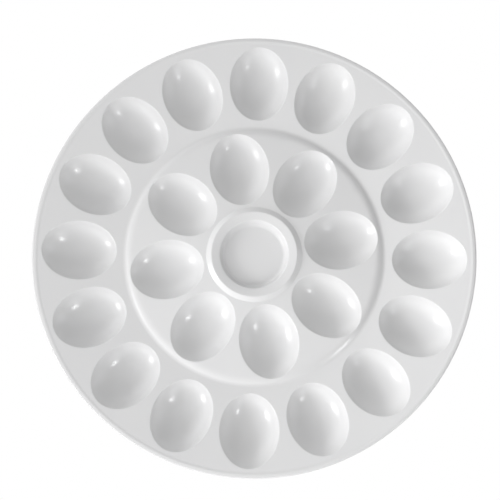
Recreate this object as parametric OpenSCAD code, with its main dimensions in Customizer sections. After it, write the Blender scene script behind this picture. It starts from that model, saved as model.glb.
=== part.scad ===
// Deviled egg platter: one round, white glazed porcelain casting that lies flat on its foot ring.
// Sixteen egg wells stand in the outer band and eight in the raised inner tier, round a dip dish.
// The origin is the centre of the foot ring's standing face, +Z is up, and all lengths are in mm.

/* [Platter] */
// Diameter over the rim bead
platter_d = 330; // [310:1:360]
// Thickness of the fired wall
wall = 4.2; // [3.6:0.1:5]
// Clearance between the table and the lowest well
foot_gap = 1.5; // [1:0.1:4]

/* [Outer band] */
// Height that the outer band climbs from the tier's foot to the rim bead
band_rise = 7.2; // [3:0.1:9]
// Height of the rim bead above the outer band
lip_h = 0.4; // [0.3:0.1:2]
// Width of the rim bead
lip_w = 4.4; // [3.6:0.1:7]

/* [Inner tier] */
// Diameter of the tier's top edge
tier_d = 185; // [176:1:190]
// Width of the sloping step, seen from above
step_w = 4.2; // [3:0.1:9]
// Height of the step above the outer band
step_h = 2.4; // [1:0.1:4]
// Height that the tier falls from the collar to the step
tier_fall = 3.7; // [0:0.1:5]

/* [Dip dish] */
// Diameter of the collar's crest
collar_d = 63.6; // [60:0.2:66]
// Height of the collar above the tier
collar_h = 2.7; // [1.5:0.1:5]
// Width of the collar's outer slope, seen from above
collar_slope_w = 3.8; // [2:0.1:5]
// Diameter of the ledge's inner edge
ledge_d = 51; // [46:0.2:54]
// Height that the ledge falls from the crest to its inner edge
ledge_fall = 1.3; // [0.4:0.1:2.5]
// Diameter of the dish floor, out to the foot of its wall
floor_d = 45.4; // [38:0.2:46]
// Depth of the dish floor below the crest
dish_depth = 7.4; // [5:0.1:10]

/* [Egg wells] */
// Wells in the outer band
outer_wells = 16; // [12:1:16]
// Distance from the centre to the middle of an outer well
outer_ring_r = 130.3; // [128:0.1:132]
// Wells in the tier
inner_wells = 8; // [6:1:8]
// Distance from the centre to the middle of an inner well
inner_ring_r = 65.6; // [64.5:0.1:67]
// Length of a well's mouth, along the radius
well_l = 55; // [50:0.2:56]
// Width of a well's mouth
well_w = 43.8; // [38:0.2:45]
// Depth of a well below its mouth
well_depth = 12; // [10:0.2:16]
// Height of the ellipsoid's centre above the mouth, which gives the wall its draft
well_lift = 9; // [3:0.5:11]
// Thickness of the wall under a well
bulge_wall = 3.4; // [3:0.1:3.6]
// Width of the eased edge round each mouth
edge_w = 0.9; // [0.4:0.1:1.5]

/* [Foot ring] */
// Diameter of the foot ring's middle line
foot_d = 196; // [190:1:204]
// Width of the standing face, with its eased edges
foot_w = 4.4; // [3.6:0.1:6]
// Widening of each side of the foot ring towards the plate
foot_draft_w = 1.1; // [0.4:0.1:2]

/* [Soft corners] */
// Radius at the shoulder of the step
shoulder_r = 18; // [4:1:24]
// Radius at the foot of the step
step_foot_r = 5; // [2:0.5:10]
// Radius over the collar's crest
crest_r = 1.4; // [0.6:0.1:2]
// Radius in the crease at the foot of the collar
crease_r = 0.9; // [0.4:0.1:2]
// Radius at the ledge's inner edge
ledge_r = 1.2; // [0.5:0.1:2]
// Radius between the dish wall and its floor
floor_r = 3.2; // [1:0.1:5]
// Radius between the band and the rim bead
lip_foot_r = 2.4; // [1:0.1:4]
// Radius between the foot ring and the underside
root_r = 3; // [1:0.1:4]
// Radius on the edges of the standing face
foot_edge_r = 1.3; // [0.5:0.1:1.7]

/* [Hidden] */
$fn = 128;

// Largest turn between two neighbouring points of a soft corner, in degrees
corner_turn = 30;
// Part of the shorter side that a soft corner may use up
corner_share = 0.48;
// Depth below a mouth at which a bulge is cut off, as a share of its own wall
bulge_top_share = 0.82;
// Outer radius of the rim bead, as a share of the wall
bead_share = 0.48;

rim_r = platter_d/2;
step_top_r = tier_d/2;
step_base_r = step_top_r + step_w;
lip_base_r = rim_r - lip_w;
crest_at_r = collar_d/2;
collar_base_r = crest_at_r + collar_slope_w;

// Slopes of the two decks: the band climbs outwards and the tier falls outwards
band_angle = atan(band_rise/(lip_base_r - step_base_r));
tier_angle = -atan(tier_fall/(step_top_r - collar_base_r));

// Half lengths of the ellipsoid that a well is cut with, found from its mouth, depth and lift
well_c = well_depth + well_lift;
mouth_ratio = sqrt(1 - pow(well_lift/well_c, 2));
well_a = well_l/2/mouth_ratio;
well_b = well_w/2/mouth_ratio;

// Reach of an ellipsoid below its centre, when its long axis is tilted by an angle
function reach(a, c, angle) = sqrt(pow(a*sin(angle), 2) + pow(c*cos(angle), 2));

// Drop from the middle of a mouth to the lowest point of the wall below it
function bulge_drop(angle) =
    reach(well_a + bulge_wall, well_c + bulge_wall, angle) - well_lift*cos(angle);

// Height of an inner mouth above an outer one
inner_over_outer = (step_base_r - outer_ring_r)*tan(band_angle) + step_h
    + (inner_ring_r - step_top_r)*tan(tier_angle);

// Heights: the lowest bulge stands foot_gap above the table, and the rest follows
outer_mouth_z = foot_gap + max(bulge_drop(band_angle), bulge_drop(tier_angle) - inner_over_outer);
function band_z(r) = outer_mouth_z + (r - outer_ring_r)*tan(band_angle);
tier_edge_z = band_z(step_base_r) + step_h;
function tier_z(r) = tier_edge_z + (r - step_top_r)*tan(tier_angle);
inner_mouth_z = tier_z(inner_ring_r);
crest_z = tier_z(collar_base_r) + collar_h;
ledge_z = crest_z - ledge_fall;
floor_z = crest_z - dish_depth;
lip_z = band_z(lip_base_r) + lip_h;

// Corner of an outline: place [r, z] and the radius that softens it
function unit(v) = v/norm(v);
function turn_centre(p, u, v, radius, half) = p + unit(u + v)*radius/sin(half);

// Points of the arc that replaces corner b between its neighbours a and c
function soft_corner(a, b, c, radius) =
    let (
        u = unit(a - b),
        v = unit(c - b),
        half = acos(u*v)/2,
        side = min(radius/tan(half), corner_share*min(norm(a - b), norm(c - b))),
        r = side*tan(half),
        m = turn_centre(b, u, v, r, half),
        from = b + u*side - m,
        to = b + v*side - m,
        swing = 180 - 2*half,
        steps = max(1, ceil(swing/corner_turn)),
        way = sign(from.x*to.y - from.y*to.x)
    )
    [for (i = [0:steps])
        let (t = way*swing*i/steps)
        m + [from.x*cos(t) - from.y*sin(t), from.x*sin(t) + from.y*cos(t)]];

// Outline through the corners, in which a corner of radius zero stays sharp
function soft_outline(corners) =
    let (n = len(corners))
    [for (i = [0:n - 1])
        let (
            before = corners[(i + n - 1) % n],
            at = corners[i],
            after = corners[(i + 1) % n]
        )
        each at.z == 0 ? [[at.x, at.y]]
            : soft_corner([before.x, before.y], [at.x, at.y], [after.x, after.y], at.z)];

// Section of the casting from the axis to the rim, as [r, z, radius of the corner]
function top_corners() = [
    [0, floor_z, 0],
    [floor_d/2, floor_z, floor_r],
    [ledge_d/2, ledge_z, ledge_r],
    [crest_at_r, crest_z, crest_r],
    [collar_base_r, tier_z(collar_base_r), crease_r],
    [step_top_r, tier_edge_z, shoulder_r],
    [step_base_r, band_z(step_base_r), step_foot_r],
    [lip_base_r, band_z(lip_base_r), lip_foot_r],
    [lip_base_r + lip_w/2, lip_z, lip_foot_r],
    [rim_r, lip_z, bead_share*wall]
];

function under_corners() = [
    [rim_r, lip_z - wall, bead_share*wall],
    [lip_base_r, band_z(lip_base_r) - wall, lip_foot_r],
    [foot_d/2 + foot_w/2 + foot_draft_w, band_z(foot_d/2 + foot_w/2 + foot_draft_w) - wall, root_r],
    [foot_d/2 + foot_w/2, 0, foot_edge_r],
    [foot_d/2 - foot_w/2, 0, foot_edge_r],
    [foot_d/2 - foot_w/2 - foot_draft_w, tier_z(step_top_r) - wall, root_r],
    [ledge_d/2 + wall, tier_z(collar_base_r) - wall, root_r],
    [floor_d/2 + wall/2, floor_z - wall, floor_r],
    [0, floor_z - wall, 0]
];

// Turned casting: decks, step, collar, dish, rim bead and foot ring in one section
module turned_body() {
    rotate_extrude()
        polygon(soft_outline(concat(top_corners(), under_corners())));
}

// Places its child at the mouth of every other well of one ring, with +X outwards along the deck
module at_wells(count, ring_r, mouth_z, deck_angle, first, start) {
    for (i = [start:2:count - 1])
        rotate([0, 0, first + i*360/count])
            translate([ring_r, 0, mouth_z])
                rotate([0, -deck_angle, 0])
                    children();
}

module at_outer_wells(start) {
    at_wells(outer_wells, outer_ring_r, outer_mouth_z, band_angle, 0, start) children();
}

module at_inner_wells(start) {
    at_wells(inner_wells, inner_ring_r, inner_mouth_z, tier_angle, 180/outer_wells, start) children();
}

// Egg bowl, or with grow the outer face of its wall
module egg_ellipsoid(grow) {
    translate([0, 0, well_lift])
        scale([well_a + grow, well_b + grow, well_c + grow])
            sphere(r = 1);
}

// What lies below a height, in a box that holds all of one well
module below(top) {
    intersection() {
        children();
        translate([-well_l, -well_w, top - 2*well_c])
            cube([2*well_l, 2*well_w, 2*well_c]);
    }
}

// Wall under a well, cut off inside the thickness of the deck
module bulge() {
    below(-bulge_top_share*bulge_wall)
        egg_ellipsoid(bulge_wall);
}

// Hollow for half an egg
module bowl() {
    below(0)
        egg_ellipsoid(0);
}

// Eased edge of a mouth: a cone that starts inside the bowl and opens it a little at the deck
module eased_edge() {
    translate([0, 0, -edge_w])
        scale([well_l/well_w, 1, 1])
            cylinder(d1 = well_w - 2*edge_w, d2 = well_w + 4*edge_w, h = 2*edge_w);
}

module well_cut() {
    bowl();
    eased_edge();
}

// Casting before its wells are cut. Neighbouring walls overlap, so they are joined in turns
module bulged_body() {
    union() {
        union() {
            union() {
                union() {
                    turned_body();
                    at_outer_wells(0) bulge();
                }
                at_outer_wells(1) bulge();
            }
            at_inner_wells(0) bulge();
        }
        at_inner_wells(1) bulge();
    }
}

module platter() {
    color([0.93, 0.93, 0.93])
        difference() {
            difference() {
                difference() {
                    difference() {
                        bulged_body();
                        at_outer_wells(0) well_cut();
                    }
                    at_outer_wells(1) well_cut();
                }
                at_inner_wells(0) well_cut();
            }
            at_inner_wells(1) well_cut();
        }
}

platter();
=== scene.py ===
"""Deviled egg platter in white glazed porcelain, seen almost straight from above on a white table.

The casting's surface is worked out as arrays from the sizes that it was moulded to, and stands for
the plain CAD solid. All lengths are in metres, in the frame's own axes.
"""
import math
import bmesh
import bpy
import numpy as np
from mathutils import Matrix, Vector


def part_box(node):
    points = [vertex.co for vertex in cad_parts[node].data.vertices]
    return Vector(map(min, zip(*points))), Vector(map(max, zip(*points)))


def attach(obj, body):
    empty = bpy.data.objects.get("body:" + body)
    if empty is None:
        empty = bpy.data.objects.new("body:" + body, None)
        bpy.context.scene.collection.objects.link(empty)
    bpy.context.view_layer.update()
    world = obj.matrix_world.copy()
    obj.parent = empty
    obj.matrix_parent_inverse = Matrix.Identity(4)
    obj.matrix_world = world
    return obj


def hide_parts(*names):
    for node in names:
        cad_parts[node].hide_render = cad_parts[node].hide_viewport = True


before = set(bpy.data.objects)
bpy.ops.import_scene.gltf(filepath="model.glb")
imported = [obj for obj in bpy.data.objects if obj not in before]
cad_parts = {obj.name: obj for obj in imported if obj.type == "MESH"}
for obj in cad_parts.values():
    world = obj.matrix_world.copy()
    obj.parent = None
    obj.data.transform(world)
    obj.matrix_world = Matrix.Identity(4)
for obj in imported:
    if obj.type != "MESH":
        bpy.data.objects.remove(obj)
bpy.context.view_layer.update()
scene = bpy.context.scene


# The casting, section line: everything but the egg wells is turned about the platter's axis.
# Porcelain paste pressed between a top and an under mould, so that decks, step, collar, dish,
# rim bead and foot ring are one wall of even thickness.
platter_d = 2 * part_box("platter")[1][0]
wall = 0.0042
foot_gap = 0.0015

# Outer band and its rim bead, whose outer edge falls softly
band_rise = 0.0072
lip_h = 0.0004
lip_w = 0.0044
bead_w = 0.0028
bead_fall = 0.0003
bead_edge_w = 0.0007

# Step and inner tier
tier_d = 0.185
step_w = 0.0042
step_h = 0.0024
tier_fall = 0.0037

# Collar, ledge and dip dish
collar_d = 0.0636
collar_h = 0.0027
collar_slope_w = 0.0038
ledge_d = 0.051
ledge_fall = 0.0013
floor_d = 0.0454
dish_depth = 0.0074

# Foot ring
foot_d = 0.196
foot_w = 0.0044
foot_draft_w = 0.0011

# Egg wells, whose depth and tilt decide how high the decks lie above the table
outer_wells = 16
inner_wells = 8
outer_ring_r = 0.1303
inner_ring_r = 0.0656
well_l = 0.055
well_w = 0.0438
well_depth = 0.012
well_lift = 0.009
bulge_wall = 0.0034

# Radii that soften the corners of the section line
floor_r = 0.0032
ledge_r = 0.0012
crest_r = 0.0014
crease_r = 0.0009
shoulder_r = 0.018
step_foot_r = 0.005
lip_foot_r = 0.0024
bead_r = 0.003
bead_edge_r = 0.0015
root_r = 0.003
foot_edge_r = 0.0013
bead_share = 0.48

rim_r = platter_d / 2
step_top_r = tier_d / 2
step_base_r = step_top_r + step_w
lip_base_r = rim_r - lip_w
crest_at_r = collar_d / 2
collar_base_r = crest_at_r + collar_slope_w
foot_out_r = foot_d / 2 + foot_w / 2
foot_in_r = foot_d / 2 - foot_w / 2
band_slope = band_rise / (lip_base_r - step_base_r)
tier_slope = -tier_fall / (step_top_r - collar_base_r)

# A well is the lower part of an ellipsoid whose centre lies well_lift above the mouth, so that the
# mouth has mouth_ratio of the full width. The bulge is the same ellipsoid, grown by its own wall
well_c = well_depth + well_lift
mouth_ratio = math.sqrt(1 - (well_lift / well_c) ** 2)
bulge_a = well_l / 2 / mouth_ratio + bulge_wall
bulge_b = well_w / 2 / mouth_ratio + bulge_wall
bulge_c = well_c + bulge_wall


def bulge_drop(slope):
    """Drop from the middle of a mouth to the lowest point of the bulge below it, when the well is
    tilted with a deck of this slope: the reach of the bulge's ellipsoid less the lift."""
    tilt = math.atan(slope)
    reach = math.hypot(bulge_a * math.sin(tilt), bulge_c * math.cos(tilt))
    return reach - well_lift * math.cos(tilt)


# The lowest bulge clears the table by foot_gap, and every height follows from that
inner_over_outer = ((step_base_r - outer_ring_r) * band_slope + step_h
                    + (inner_ring_r - step_top_r) * tier_slope)
outer_mouth_z = foot_gap + max(bulge_drop(band_slope), bulge_drop(tier_slope) - inner_over_outer)


def band_z(r):
    """Height of the outer band: a straight line through the middles of the outer wells' mouths."""
    return outer_mouth_z + (r - outer_ring_r) * band_slope


def tier_z(r):
    """Height of the tier: a straight line that falls outwards to the top of the step."""
    return band_z(step_base_r) + step_h + (r - step_top_r) * tier_slope


crest_z = tier_z(collar_base_r) + collar_h
ledge_z = crest_z - ledge_fall
floor_z = crest_z - dish_depth
lip_z = band_z(lip_base_r) + lip_h
bead_edge_z = lip_z - bead_fall

# Largest turn between two points of a soft corner, and the most of a side that it may use up
corner_turn = math.radians(6)
corner_share = 0.48


def softened(corners):
    """Points of a line through corners (r, z, radius), in which an arc that touches both sides
    replaces each corner that has a radius. An arc has three points or more, in even turns of
    corner_turn at most."""
    line = []
    for i, (r, z, radius) in enumerate(corners):
        at = np.array([r, z])
        if radius == 0:
            line.append(at[None])
            continue
        back = np.array(corners[i - 1][:2]) - at
        on = np.array(corners[i + 1][:2]) - at
        u, v = back / np.linalg.norm(back), on / np.linalg.norm(on)
        half = math.acos(np.clip(u @ v, -1, 1)) / 2
        shorter = min(np.linalg.norm(back), np.linalg.norm(on))
        side = min(radius / math.tan(half), corner_share * shorter)
        centre = at + (u + v) / np.linalg.norm(u + v) * side / math.cos(half)
        start, end = at + u * side - centre, at + v * side - centre
        swing = math.pi - 2 * half
        t = np.linspace(0, 1, max(3, math.ceil(swing / corner_turn) + 1))[:, None]
        arc = (np.sin((1 - t) * swing) * start + np.sin(t * swing) * end) / math.sin(swing)
        line.append(centre + arc)
    return np.concatenate(line)


top_line = softened([
    (0, floor_z, 0),
    (floor_d / 2, floor_z, floor_r),
    (ledge_d / 2, ledge_z, ledge_r),
    (crest_at_r, crest_z, crest_r),
    (collar_base_r, tier_z(collar_base_r), crease_r),
    (step_top_r, tier_z(step_top_r), shoulder_r),
    (step_base_r, band_z(step_base_r), step_foot_r),
    (lip_base_r, band_z(lip_base_r), lip_foot_r),
    (rim_r - bead_w, lip_z, bead_r),
    (rim_r - bead_edge_w, bead_edge_z, bead_edge_r),
    (rim_r, bead_edge_z - bead_edge_w, bead_edge_r),
    (rim_r, lip_z - wall / 2, 0)])
under_line = softened([
    (rim_r, lip_z - wall / 2, 0),
    (rim_r, lip_z - wall, bead_share * wall),
    (lip_base_r, band_z(lip_base_r) - wall, lip_foot_r),
    (foot_out_r + foot_draft_w, band_z(foot_out_r + foot_draft_w) - wall, root_r),
    (foot_out_r, 0, foot_edge_r),
    (foot_in_r, 0, foot_edge_r),
    (foot_in_r - foot_draft_w, tier_z(step_top_r) - wall, root_r),
    (ledge_d / 2 + wall, tier_z(collar_base_r) - wall, root_r),
    (floor_d / 2 + wall / 2, floor_z - wall, floor_r),
    (0, floor_z - wall, 0)])


# The casting, egg wells: a hollow for half an egg, pressed into the deck sixteen times in the outer
# ring and eight times in the inner one. The glaze rounds every mouth, and the wall bulges below
# each well with a soft crease where it meets the plate.
edge_r = 0.0009
fillet_r = 0.003

# Each well has its own cell of the deck, a sector that reaches cell_gap past both ends of the mouth
cell_gap = 0.0015
dish_edge_r = inner_ring_r - well_l / 2 - cell_gap
tier_edge_r = inner_ring_r + well_l / 2 + cell_gap
band_in_r = outer_ring_r - well_l / 2 - cell_gap
band_out_r = outer_ring_r + well_l / 2 + cell_gap
outer_half = math.pi / outer_wells
inner_half = math.pi / inner_wells

# Columns of the mesh along the arcs of one cell and along each of its sides
rim_columns = 16
step_columns = 14
dish_columns = 16
side_columns = 20

# Rows of the mesh up a bowl, over its eased edge, and from there out to the cell's outline. Those
# on the deck stand closer near the mouth, by the power row_crowding
bowl_rows = 12
edge_rows = 5
outer_deck_rows = 6
inner_deck_rows = 10
row_crowding = 1.25
halvings = 40


def deck_z(x, y):
    """Height of the turned top over (x, y): its section line at the distance from the axis."""
    return np.interp(np.hypot(x, y), top_line[:, 0], top_line[:, 1])


def cell_outline(half_angle, r_in, r_out, in_columns, out_columns):
    """Outline of one well's cell, a sector between two radii, counter-clockwise from the outer
    arc's first corner: both arcs in even angles and both sides in even steps."""
    across = np.linspace(-half_angle, half_angle, out_columns + 1)[:-1]
    back = np.linspace(half_angle, -half_angle, in_columns + 1)[:-1]
    inward = np.linspace(r_out, r_in, side_columns + 1)[:-1]
    outward = np.linspace(r_in, r_out, side_columns + 1)[:-1]
    r = np.concatenate([np.full(out_columns, r_out), inward, np.full(in_columns, r_in), outward])
    angle = np.concatenate([across, np.full(side_columns, half_angle),
                            back, np.full(side_columns, -half_angle)])
    return np.stack([r * np.cos(angle), r * np.sin(angle)], -1)


def well_cell(ring_r, outline, deck_rows):
    """Grid from the bottom of a well out to the outline of its cell, in rows round the well.
    In the bowl q is the share of the mouth's ellipse and sin(bow) = mouth_ratio q, which gives the
    depth well_c cos(bow) - well_lift. The edge is an arc of radius edge_r that touches bowl and
    deck. It takes over from the bowl at the bow where it has fallen as deep, which is found by
    halving. From the edge the rows run straight out. All depths are taken off the deck."""
    half_l, half_w = well_l / 2, well_w / 2
    ray = outline - [ring_r, 0]
    heading = np.arctan2(ray[:, 1], ray[:, 0])
    cos, sin = np.cos(heading), np.sin(heading)
    mouth = 1 / np.hypot(cos / half_l, sin / half_w)
    # Length, square to the mouth's outline, over which q grows by one
    q_length = 1 / np.hypot(mouth * cos / half_l ** 2, mouth * sin / half_w ** 2)
    low, high = np.zeros_like(heading), np.full_like(heading, math.asin(mouth_ratio))
    for _ in range(halvings):
        bow = (low + high) / 2
        steep = np.arctan(well_c * mouth_ratio * np.tan(bow) / q_length)
        deeper = well_c * np.cos(bow) - well_lift > edge_r * (1 - np.cos(steep))
        low, high = np.where(deeper, bow, low), np.where(deeper, high, bow)
    rise = np.linspace(0, 1, bowl_rows)[:, None] * bow
    bowl_q = np.sin(rise) / mouth_ratio
    bowl_depth = well_c * np.cos(rise) - well_lift
    lean = np.linspace(1, 0, edge_rows + 1)[1:, None] * steep
    inset = q_length * (1 - np.sin(bow) / mouth_ratio) - edge_r * np.sin(steep)
    edge_q = 1 - (inset + edge_r * np.sin(lean)) / q_length
    edge_depth = edge_r * (1 - np.cos(lean))
    reach = np.concatenate([bowl_q, edge_q]) * mouth
    out = np.linspace(0, 1, deck_rows + 1)[1:, None] ** row_crowding
    reach = np.concatenate([reach, reach[-1] + out * (np.hypot(*ray.T) - reach[-1])])
    depth = np.concatenate([bowl_depth, edge_depth, np.zeros((deck_rows, len(heading)))])
    x, y = ring_r + reach * cos, reach * sin
    return np.stack([x, y, deck_z(x, y) - depth], -1)


def round_the_axis(grid, count, first):
    """count copies of a grid, turned evenly about Z from the angle first."""
    t = first + 2 * math.pi * np.arange(count)[:, None, None] / count
    x, y, z = np.moveaxis(grid, -1, 0)
    return np.stack(np.broadcast_arrays(x * np.cos(t) - y * np.sin(t),
                                        x * np.sin(t) + y * np.cos(t), z), -1)


def under_z(x, y, z):
    """Underside at (x, y) from the turned height z: the lower one of it and of the lower half of
    each bulge's ellipsoid, tilted with its deck. Where the two are closer than fillet_r, up to a
    quarter of fillet_r comes off, which softens the crease."""
    for ring_r, count, first, slope in ((outer_ring_r, outer_wells, 0, band_slope),
                                        (inner_ring_r, inner_wells, outer_half, tier_slope)):
        mouth_z = deck_z(ring_r, 0)
        for t in first + 2 * math.pi * np.arange(count) / count:
            u = x * math.cos(t) + y * math.sin(t) - ring_r
            v = y * math.cos(t) - x * math.sin(t)
            inside = np.clip(1 - (u / bulge_a) ** 2 - (v / bulge_b) ** 2, 0, 1)
            bulge_z = mouth_z + u * slope + well_lift - bulge_c * np.sqrt(inside)
            bulge_z = np.where(inside > 0, bulge_z, math.inf)
            near = np.clip(1 - np.abs(z - bulge_z) / fillet_r, 0, 1)
            z = np.minimum(z, bulge_z) - fillet_r * near ** 2 / 4
    return z


# The casting, whole: the two moulds' faces meet at the rim in one closed skin. The dish, the strips
# along step and rim and the underside are turned, and the wells' cells fill the decks. The values
# are the longest side of a face on each turned part, and how close two points are to be one.
dish_side = 0.002
strip_side = 0.001
under_side = 0.0024
weld_gap = 0.000002


def spaced(line, gap):
    """A line whose sides are cut evenly, so that none is longer than gap."""
    cuts = np.maximum(1, np.ceil(np.hypot(*np.diff(line, axis=0).T) / gap).astype(int))
    at = np.concatenate([np.arange(n) / n + i for i, n in enumerate(cuts)] + [[len(cuts)]])
    return np.stack([np.interp(at, np.arange(len(line)), line[:, k]) for k in (0, 1)], -1)


def between(line, r0, r1, gap):
    """The part of a line that rises in r between two radii, with no side longer than gap."""
    inner = line[(line[:, 0] > r0) & (line[:, 0] < r1)]
    ends = [[r, np.interp(r, line[:, 0], line[:, 1])] for r in (r0, r1)]
    return spaced(np.concatenate([ends[:1], inner, ends[1:]]), gap)


def around(cells, columns, first):
    """Even angles round the axis from the angle first, so many columns in each of the cells."""
    return first + 2 * math.pi * np.arange(cells * columns) / (cells * columns)


def turned(line, angles):
    """Grid of the section line turned about Z: one row for each of its points."""
    r, z = line[:, 0, None], line[:, 1, None]
    return np.stack(np.broadcast_arrays(r * np.cos(angles), r * np.sin(angles), z), -1)


def quads(shape, first):
    """Corner numbers of the faces of a grid whose rows close into rings, when its points are
    numbered from first."""
    rows, columns = shape
    n = np.arange(rows * columns).reshape(rows, columns) + first
    n = np.concatenate([n, n[:, :1]], 1)
    return np.stack([n[:-1, :-1], n[1:, :-1], n[1:, 1:], n[:-1, 1:]], -1).reshape(-1, 4)


outer_outline = cell_outline(outer_half, band_in_r, band_out_r, step_columns, rim_columns)
inner_outline = cell_outline(inner_half, dish_edge_r, tier_edge_r, dish_columns, 2 * step_columns)
outer_cell = well_cell(outer_ring_r, outer_outline, outer_deck_rows)
inner_cell = well_cell(inner_ring_r, inner_outline, inner_deck_rows)

dish_line = between(top_line, 0, dish_edge_r, dish_side)
step_line = between(top_line, tier_edge_r, band_in_r, strip_side)
rim_start = [[band_out_r, band_z(band_out_r)]]
rim_line = spaced(np.concatenate([rim_start, top_line[top_line[:, 0] > band_out_r]]), strip_side)
under_line = spaced(under_line, under_side)
dish_angles = around(inner_wells, dish_columns, outer_half - inner_half)
step_angles = around(outer_wells, step_columns, outer_half)
rim_angles = around(outer_wells, rim_columns, outer_half)

# The bulges stand out from the turned underside, but not from the rim or the standing face
underside = turned(under_line, rim_angles)
x, y, z = np.moveaxis(underside, -1, 0)
on_plate = (under_line[:, 0, None] < rim_r - wall / 2) & (z > 0)
underside[..., 2] = np.where(on_plate, under_z(x, y, z), z)

grids = [*round_the_axis(outer_cell, outer_wells, 0),
         *round_the_axis(inner_cell, inner_wells, outer_half),
         turned(dish_line, dish_angles),
         turned(step_line, step_angles),
         turned(rim_line, rim_angles),
         underside]
points, faces, first = [], [], 0
for grid in grids:
    points.append(grid.reshape(-1, 3))
    faces.append(quads(grid.shape[:2], first))
    first += len(points[-1])
points, faces = np.concatenate(points), np.concatenate(faces)

mesh = bpy.data.meshes.new("platter_casting")
mesh.vertices.add(len(points))
mesh.vertices.foreach_set("co", points.ravel())
mesh.loops.add(faces.size)
mesh.loops.foreach_set("vertex_index", faces.ravel())
mesh.polygons.add(len(faces))
mesh.polygons.foreach_set("loop_start", np.arange(0, faces.size, 4))
mesh.update(calc_edges=True)
skin = bmesh.new()
skin.from_mesh(mesh)
bmesh.ops.remove_doubles(skin, verts=skin.verts, dist=weld_gap)
bmesh.ops.recalc_face_normals(skin, faces=skin.faces)
skin.to_mesh(mesh)
skin.free()
mesh.polygons.foreach_set("use_smooth", np.ones(len(mesh.polygons), bool))
casting = bpy.data.objects.new("platter_casting", mesh)
scene.collection.objects.link(casting)
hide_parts("platter")
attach(casting, "root")


# Glaze: clear gloss over white vitreous porcelain, sprayed on and fired. It gives a bright,
# slightly soft reflection over an even, neutral white.
porcelain_shade = "#dadadb"
porcelain_white = "#dedede"
porcelain_ior = 1.5
gloss_smooth = 0.17
gloss_rough = 0.23
cloud_w = 0.04
patch_w = 0.0125
wave_w = 0.007143
wave_h = 0.00002

# Numbers of a Mix node's sockets, which share their names, for colours and for plain numbers
colour_a, colour_b, colour_out = 6, 7, 2
number_a, number_b = 2, 3


def linear(colour):
    """sRGB hex colour as linear RGBA."""
    part = [int(colour[i:i + 2], 16) / 255 for i in (1, 3, 5)]
    return [c / 12.92 if c <= 0.04045 else ((c + 0.055) / 1.055) ** 2.4 for c in part] + [1]


def add_node(tree, kind, settings=(), links=()):
    """Adds a node, sets its inputs or properties, and links its inputs to their source sockets.
    An input is given by its name, or by its number where nodes repeat a name."""
    node = tree.nodes.new(kind)
    for name, value in dict(settings).items():
        if isinstance(name, int) or name in node.inputs:
            node.inputs[name].default_value = value
        else:
            setattr(node, name, value)
    for name, source in dict(links).items():
        tree.links.new(source, node.inputs[name])
    return node


porcelain = bpy.data.materials.new("glazed porcelain")
porcelain.use_nodes = True
tree = porcelain.node_tree
shader = tree.nodes["Principled BSDF"]
shader.inputs["IOR"].default_value = porcelain_ior
place = add_node(tree, "ShaderNodeTexCoord").outputs["Object"]

# Body showing through the glaze: neutral white, in faint clouds of about 40 mm
clouds = add_node(tree, "ShaderNodeTexNoise", {"Scale": 1 / cloud_w, "Detail": 2.0},
                  {"Vector": place})
body = add_node(tree, "ShaderNodeMix",
                {"data_type": "RGBA", "clamp_factor": True,
                 colour_a: linear(porcelain_shade), colour_b: linear(porcelain_white)},
                {"Factor": clouds.outputs["Fac"]})
tree.links.new(body.outputs[colour_out], shader.inputs["Base Color"])

# Gloss: a little uneven where the glaze ran thinner, in patches of about 12 mm
patches = add_node(tree, "ShaderNodeTexNoise", {"Scale": 1 / patch_w, "Detail": 1.0},
                   {"Vector": place})
gloss = add_node(tree, "ShaderNodeMapRange", {"To Min": gloss_smooth, "To Max": gloss_rough},
                 {"Value": patches.outputs["Fac"]})
tree.links.new(gloss.outputs["Result"], shader.inputs["Roughness"])

# Surface: the glaze lies in shallow waves of about 7 mm, a few microns high
waves = add_node(tree, "ShaderNodeTexNoise", {"Scale": 1 / wave_w, "Detail": 1.0},
                 {"Vector": place})
relief = add_node(tree, "ShaderNodeBump", {"Strength": 0.5, "Distance": wave_h},
                  {"Height": waves.outputs["Fac"]})
tree.links.new(relief.outputs["Normal"], shader.inputs["Normal"])
mesh.materials.append(porcelain)


# Standing face: the foot ring is wiped clean of glaze before firing and ground flat after it, so
# bare bisque shows there, matt and slightly warm. Its grain of about 0.1 mm is drawn four times
# as coarse, so that it shows.
bisque_shade = "#d9d4ca"
bisque_light = "#e6e2da"
bisque_roughness = 0.8
bisque_ior = 1.45
grain_w = 0.0004545
grain_h = 0.00005
ground_h = 0.00015

bisque = bpy.data.materials.new("bare bisque")
bisque.use_nodes = True
tree = bisque.node_tree
shader = tree.nodes["Principled BSDF"]
shader.inputs["Roughness"].default_value = bisque_roughness
shader.inputs["IOR"].default_value = bisque_ior
place = add_node(tree, "ShaderNodeTexCoord").outputs["Object"]
grain = add_node(tree, "ShaderNodeTexNoise", {"Scale": 1 / grain_w, "Detail": 3.0},
                 {"Vector": place})
clay = add_node(tree, "ShaderNodeMix",
                {"data_type": "RGBA", "clamp_factor": True,
                 colour_a: linear(bisque_shade), colour_b: linear(bisque_light)},
                {"Factor": grain.outputs["Fac"]})
tree.links.new(clay.outputs[colour_out], shader.inputs["Base Color"])
tooth = add_node(tree, "ShaderNodeBump", {"Strength": 0.4, "Distance": grain_h},
                 {"Height": grain.outputs["Fac"]})
tree.links.new(tooth.outputs["Normal"], shader.inputs["Normal"])
mesh.materials.append(bisque)

centre = np.zeros(3 * len(mesh.polygons))
mesh.polygons.foreach_get("center", centre)
x, y, z = centre.reshape(-1, 3).T
bare = (z < ground_h) & (np.abs(np.hypot(x, y) - foot_d / 2) < foot_w / 2)
mesh.polygons.foreach_set("material_index", bare.astype(np.int32))


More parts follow.
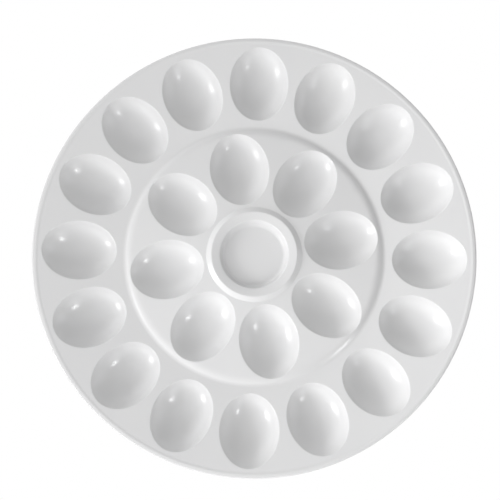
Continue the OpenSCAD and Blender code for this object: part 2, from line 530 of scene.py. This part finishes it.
# Table: a flat white sheet that the platter stands on. Seen directly or in the glaze it is plain
# white without a shadow, as in a cut-out picture, and to all other light it is pale matt paint.
table_half = 3.0
table_paint = "#f4f4f4"
paper_white = "#ffffff"

table = bpy.data.materials.new("white table")
table.use_nodes = True
tree = table.node_tree
tree.nodes.clear()
rays = add_node(tree, "ShaderNodeLightPath").outputs
paint = add_node(tree, "ShaderNodeBsdfDiffuse", {"Color": linear(table_paint)})
glow = add_node(tree, "ShaderNodeEmission", {"Color": linear(paper_white), "Strength": 1.0})
seen = add_node(tree, "ShaderNodeMath", {"operation": "MAXIMUM"},
                {0: rays["Is Camera Ray"], 1: rays["Is Glossy Ray"]})
mix = add_node(tree, "ShaderNodeMixShader", (),
               {0: seen.outputs[0], 1: paint.outputs[0], 2: glow.outputs[0]})
add_node(tree, "ShaderNodeOutputMaterial", (), {"Surface": mix.outputs[0]})

table_mesh = bpy.data.meshes.new("table")
table_mesh.from_pydata([(-table_half, -table_half, 0), (table_half, -table_half, 0),
                        (table_half, table_half, 0), (-table_half, table_half, 0)],
                       [], [(0, 1, 2, 3)])
table_mesh.materials.append(table)
table_top = bpy.data.objects.new("table", table_mesh)
scene.collection.objects.link(table_top)


# Studio: a key box low on the left with a small bright spot in it, two wide fill boxes and a small
# glint box on the right, and a room whose ceiling and walls give the even light.
box_distance = 1.6
panel_power = 6.0


def towards(azimuth, elevation):
    """Direction at an azimuth from +X and an elevation above the table, in degrees."""
    az, el = math.radians(azimuth), math.radians(elevation)
    return Vector((math.cos(el) * math.cos(az), math.cos(el) * math.sin(az), math.sin(el)))


def soft_box(name, azimuth, elevation, size, beam, watts, aim_x):
    """Square soft box at box_distance from the platter. Its honeycomb narrows the beam to so many
    degrees round the line to a point on the table, aim_x to the right of the middle."""
    light = bpy.data.lights.new(name, "AREA")
    light.shape = "SQUARE"
    light.size = size
    light.energy = watts
    light.spread = math.radians(beam)
    holder = bpy.data.objects.new(name, light)
    holder.location = towards(azimuth, elevation) * box_distance
    sight = holder.location - Vector((aim_x, 0, 0))
    holder.rotation_euler = sight.to_track_quat("Z", "Y").to_euler()
    scene.collection.objects.link(holder)


soft_box("key", azimuth=203, elevation=25, size=0.7, beam=24, watts=0.28, aim_x=0.30)
soft_box("key_spot", azimuth=207, elevation=28, size=0.3, beam=12, watts=0.06, aim_x=0.38)
soft_box("fill", azimuth=315, elevation=20, size=1.2, beam=40, watts=0.52, aim_x=0)
soft_box("fill_right", azimuth=0, elevation=15, size=1.2, beam=40, watts=0.36, aim_x=0)
soft_box("glint", azimuth=320, elevation=38, size=0.3, beam=24, watts=0.09, aim_x=-0.25)

# Room: a ceiling panel and five wall panels, each as (azimuth, elevation, strength). A panel glows
# as strength * max(0, cos(angle to its middle)) ^ panel_power
room_panels = [
    (0, 90, 1.17),
    (225, 12, 2.3),
    (180, 12, 0.9),
    (135, 12, 1.6),
    (90, 12, 0.7),
    (270, 12, 1.2)]
world = bpy.data.worlds.new("room")
scene.world = world
world.use_nodes = True
tree = world.node_tree
background = tree.nodes["Background"]
background.inputs["Color"].default_value = linear(paper_white)
direction = add_node(tree, "ShaderNodeTexCoord").outputs["Generated"]
glows = []
for azimuth, elevation, strength in room_panels:
    facing = add_node(tree, "ShaderNodeVectorMath",
                      {"operation": "DOT_PRODUCT", 1: towards(azimuth, elevation)}, {0: direction})
    level = facing.outputs["Value"]
    for operation, value in (("MAXIMUM", 0.0), ("POWER", panel_power), ("MULTIPLY", strength)):
        level = add_node(tree, "ShaderNodeMath", {"operation": operation, 1: value},
                         {0: level}).outputs[0]
    glows.append(level)
room = glows[0]
for level in glows[1:]:
    room = add_node(tree, "ShaderNodeMath", {"operation": "ADD"}, {0: room, 1: level}).outputs[0]

# The camera itself sees plain white paper past the table
seen = add_node(tree, "ShaderNodeLightPath").outputs["Is Camera Ray"]
shown = add_node(tree, "ShaderNodeMix", {"data_type": "FLOAT", number_b: 1.0},
                 {"Factor": seen, number_a: room})
tree.links.new(shown.outputs[0], background.inputs["Strength"])


# Camera: fitted to the photograph, about 1.15 m away and 8 degrees off the vertical. Its azimuth
# is from +X, like the lights', and its distance is from the level of the outer wells' mouths.
camera_azimuth = -88.41
camera_elevation = 82.1
camera_distance = 1.149
sensor_mm = 36
photo_px = 500
metres_per_px = 0.0007437
platter_centre_px = (254.2, 254.85)

way = towards(camera_azimuth, camera_elevation)
camera_data = bpy.data.cameras.new("camera")
camera_data.sensor_width = sensor_mm
camera_data.lens = sensor_mm * camera_distance / (photo_px * metres_per_px)
camera_data.shift_x = (photo_px / 2 - platter_centre_px[0]) / photo_px
camera_data.shift_y = (platter_centre_px[1] - photo_px / 2) / photo_px
camera = bpy.data.objects.new("camera", camera_data)
camera.location = Vector((0, 0, outer_mouth_z)) + way * camera_distance
camera.rotation_euler = way.to_track_quat("Z", "Y").to_euler()
scene.collection.objects.link(camera)
scene.camera = camera

scene.view_settings.view_transform = "Standard"
